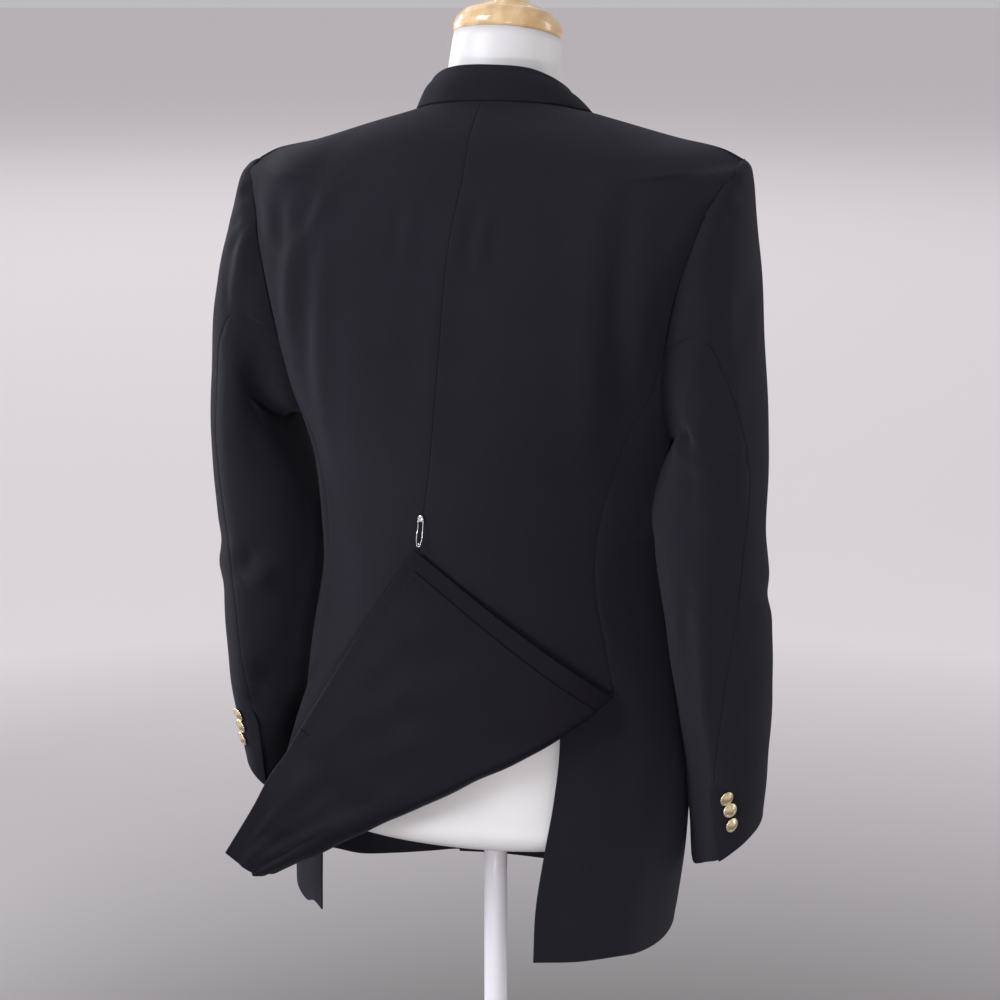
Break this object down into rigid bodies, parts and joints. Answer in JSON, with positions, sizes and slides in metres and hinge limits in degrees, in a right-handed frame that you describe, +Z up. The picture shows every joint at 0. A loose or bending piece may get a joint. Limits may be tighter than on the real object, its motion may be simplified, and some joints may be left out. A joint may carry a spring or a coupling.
{
  "type": "double-breasted blazer on a dress form",
  "caption": "Dark wool double-breasted blazer with side vents and one back corner turned up and pinned, on a white limbless dress form with a round base.",
  "frame": {"origin": "centre of the round base's flat underside, on the pole's axis", "axes": "+Z up along the pole; the wearer faces -Y; the wearer's left is +X"},
  "size_m": [0.5553, 0.3095, 1.6253],
  "materials": {
    "navy_wool": "matt worsted wool twill",
    "lining": "satin-faced twill lining",
    "gold_metal": "polished, slightly domed",
    "pin_steel": "bright nickel-plated wire",
    "form_white": "smooth matt white shell",
    "stand_white": "white satin paint",
    "maple": "turned, clear gloss varnish"
  },
  "bodies": {
    "root": {"back_left": "navy_wool", "back_right": "navy_wool", "side_panel_left": "navy_wool", "side_panel_right": "navy_wool", "front_left": "navy_wool", "front_right": "navy_wool", "lapel_left": "navy_wool", "lapel_right": "navy_wool", "collar": "navy_wool", "top_sleeve_left": "navy_wool", "top_sleeve_right": "navy_wool", "under_sleeve_left": "navy_wool", "under_sleeve_right": "navy_wool", "pocket_flap_left": "navy_wool", "pocket_flap_right": "navy_wool", "breast_welt": "navy_wool", "flap_lining": "lining", "front_button_left_1": "gold_metal", "front_button_left_2": "gold_metal", "front_button_left_3": "gold_metal", "front_button_right_1": "gold_metal", "front_button_right_2": "gold_metal", "front_button_right_3": "gold_metal", "cuff_button_left_1": "gold_metal", "cuff_button_left_2": "gold_metal", "cuff_button_left_3": "gold_metal", "cuff_button_right_1": "gold_metal", "cuff_button_right_2": "gold_metal", "cuff_button_right_3": "gold_metal", "safety_pin_wire": "pin_steel", "safety_pin_clasp": "pin_steel", "form_torso": "form_white", "neck_cap": "maple", "pole": "stand_white", "base": "stand_white"}
  },
  "joints": []
}
